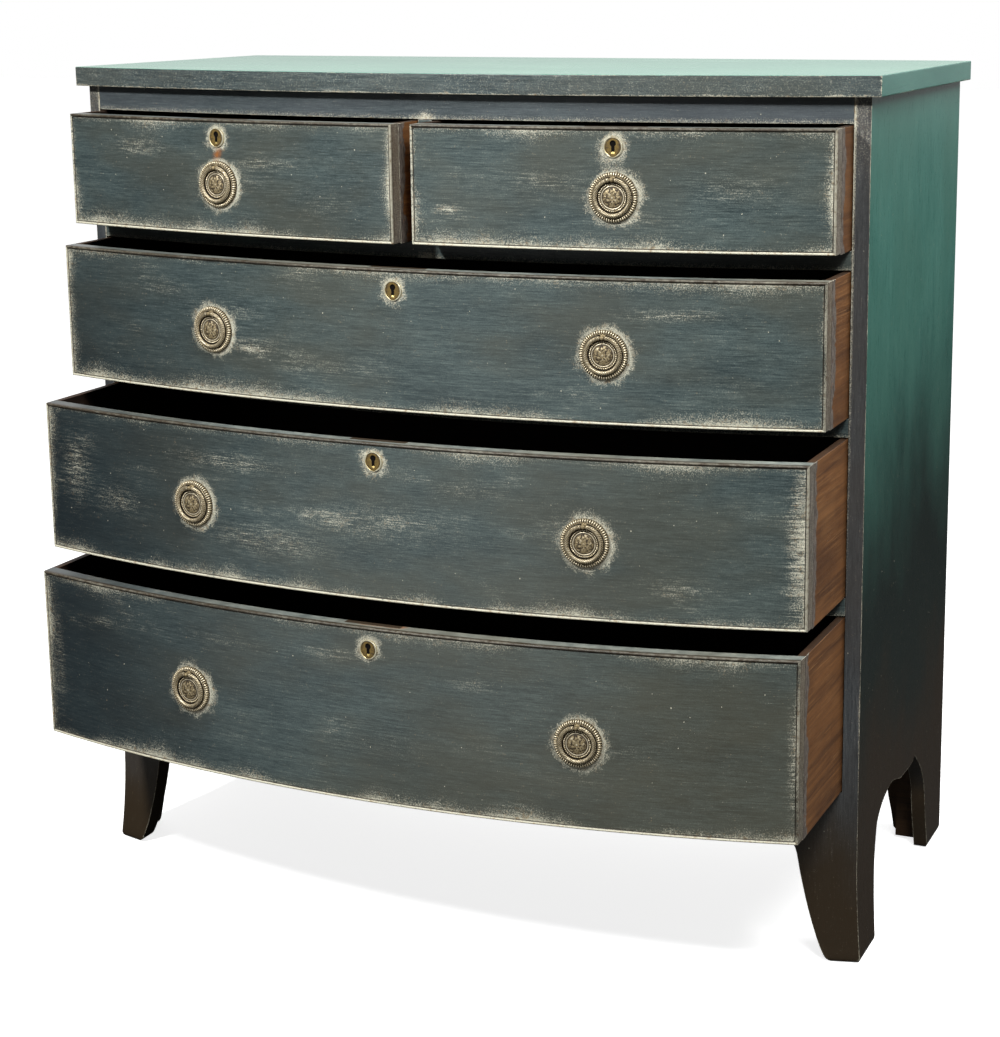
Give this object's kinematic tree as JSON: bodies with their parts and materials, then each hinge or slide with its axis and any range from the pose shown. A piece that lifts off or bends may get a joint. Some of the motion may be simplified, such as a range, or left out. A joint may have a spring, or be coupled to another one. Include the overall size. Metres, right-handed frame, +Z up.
{
  "type": "bow front chest of drawers",
  "caption": "Bow front chest of drawers: short drawers over long ones, ring pulls, splayed bracket feet, worn paint.",
  "frame": {"origin": "on the floor, under the middle of the chest as it is stored, with its drawers part open", "axes": "+X to the right as one faces the drawers, +Y from front to back, +Z up"},
  "size_m": [1.047, 0.6649, 1.0355],
  "materials": {
    "front_paint": "worn dark blue grey paint, satin",
    "green_paint": "worn teal green paint, satin",
    "carcase_wood": "old bare pine, dull",
    "drawer_lining": "old bare oak, dull",
    "lock_brass": "aged brass",
    "pull_brass": "aged brass, dark in the hollows"
  },
  "bodies": {
    "carcase": {"top_board": "green_paint", "side_panel_right": "green_paint", "side_panel_left": "green_paint", "back_panel": "carcase_wood", "frieze_rail": "front_paint", "top_muntin": "front_paint", "top_drawer_guide": "carcase_wood", "divider_upper": "front_paint", "divider_middle": "front_paint", "divider_lower": "front_paint", "bottom_board": "carcase_wood", "base_front": "front_paint", "rear_bracket_right": "carcase_wood", "rear_bracket_left": "carcase_wood"},
    "top_left_drawer": {"top_left_drawer_front": "front_paint", "top_left_drawer_side_left": "drawer_lining", "top_left_drawer_side_right": "drawer_lining", "top_left_drawer_back": "drawer_lining", "top_left_drawer_bottom": "drawer_lining", "top_left_lock": "lock_brass", "top_left_pull_plate": "pull_brass"},
    "top_left_ring": {"top_left_pull_ring": "pull_brass"},
    "top_right_drawer": {"top_right_drawer_front": "front_paint", "top_right_drawer_side_left": "drawer_lining", "top_right_drawer_side_right": "drawer_lining", "top_right_drawer_back": "drawer_lining", "top_right_drawer_bottom": "drawer_lining", "top_right_lock": "lock_brass", "top_right_pull_plate": "pull_brass"},
    "top_right_ring": {"top_right_pull_ring": "pull_brass"},
    "upper_drawer": {"upper_drawer_front": "front_paint", "upper_drawer_side_left": "drawer_lining", "upper_drawer_side_right": "drawer_lining", "upper_drawer_back": "drawer_lining", "upper_drawer_bottom": "drawer_lining", "upper_lock": "lock_brass", "upper_pull_plate_left": "pull_brass", "upper_pull_plate_right": "pull_brass"},
    "upper_ring_left": {"upper_pull_ring_left": "pull_brass"},
    "upper_ring_right": {"upper_pull_ring_right": "pull_brass"},
    "middle_drawer": {"middle_drawer_front": "front_paint", "middle_drawer_side_left": "drawer_lining", "middle_drawer_side_right": "drawer_lining", "middle_drawer_back": "drawer_lining", "middle_drawer_bottom": "drawer_lining", "middle_lock": "lock_brass", "middle_pull_plate_left": "pull_brass", "middle_pull_plate_right": "pull_brass"},
    "middle_ring_left": {"middle_pull_ring_left": "pull_brass"},
    "middle_ring_right": {"middle_pull_ring_right": "pull_brass"},
    "lower_drawer": {"lower_drawer_front": "front_paint", "lower_drawer_side_left": "drawer_lining", "lower_drawer_side_right": "drawer_lining", "lower_drawer_back": "drawer_lining", "lower_drawer_bottom": "drawer_lining", "lower_lock": "lock_brass", "lower_pull_plate_left": "pull_brass", "lower_pull_plate_right": "pull_brass"},
    "lower_ring_left": {"lower_pull_ring_left": "pull_brass"},
    "lower_ring_right": {"lower_pull_ring_right": "pull_brass"}
  },
  "joints": [
    {"name": "top_left_drawer_slide", "type": "slide", "parent": "carcase", "child": "top_left_drawer", "axis": [0, -1, 0], "range_m": [-0.064, 0.236]},
    {"name": "top_left_ring_hinge", "type": "hinge", "parent": "top_left_drawer", "child": "top_left_ring", "pos_m": [-0.25143, -0.21745, 0.92439], "axis": [-0.9917, 0.1287, 0], "range_deg": [0, 100]},
    {"name": "top_right_drawer_slide", "type": "slide", "parent": "carcase", "child": "top_right_drawer", "axis": [0, -1, 0], "range_m": [-0.058, 0.242]},
    {"name": "top_right_ring_hinge", "type": "hinge", "parent": "top_right_drawer", "child": "top_right_ring", "pos_m": [0.25143, -0.21145, 0.92439], "axis": [-0.9917, -0.1287, 0], "range_deg": [0, 100]},
    {"name": "upper_drawer_slide", "type": "slide", "parent": "carcase", "child": "upper_drawer", "axis": [0, -1, 0], "range_m": [-0.088, 0.212]},
    {"name": "upper_ring_left_hinge", "type": "hinge", "parent": "upper_drawer", "child": "upper_ring_left", "pos_m": [-0.25143, -0.24145, 0.75427], "axis": [-0.9917, 0.1287, 0], "range_deg": [0, 100]},
    {"name": "upper_ring_right_hinge", "type": "hinge", "parent": "upper_drawer", "child": "upper_ring_right", "pos_m": [0.25143, -0.24145, 0.75427], "axis": [-0.9917, -0.1287, 0], "range_deg": [0, 100]},
    {"name": "middle_drawer_slide", "type": "slide", "parent": "carcase", "child": "middle_drawer", "axis": [0, -1, 0], "range_m": [-0.145, 0.155]},
    {"name": "middle_ring_left_hinge", "type": "hinge", "parent": "middle_drawer", "child": "middle_ring_left", "pos_m": [-0.25143, -0.29845, 0.55487], "axis": [-0.9917, 0.1287, 0], "range_deg": [0, 100]},
    {"name": "middle_ring_right_hinge", "type": "hinge", "parent": "middle_drawer", "child": "middle_ring_right", "pos_m": [0.25143, -0.29845, 0.55487], "axis": [-0.9917, -0.1287, 0], "range_deg": [0, 100]},
    {"name": "lower_drawer_slide", "type": "slide", "parent": "carcase", "child": "lower_drawer", "axis": [0, -1, 0], "range_m": [-0.169, 0.131]},
    {"name": "lower_ring_left_hinge", "type": "hinge", "parent": "lower_drawer", "child": "lower_ring_left", "pos_m": [-0.25143, -0.32245, 0.33235], "axis": [-0.9917, 0.1287, 0], "range_deg": [0, 100]},
    {"name": "lower_ring_right_hinge", "type": "hinge", "parent": "lower_drawer", "child": "lower_ring_right", "pos_m": [0.25143, -0.32245, 0.33235], "axis": [-0.9917, -0.1287, 0], "range_deg": [0, 100]}
  ]
}
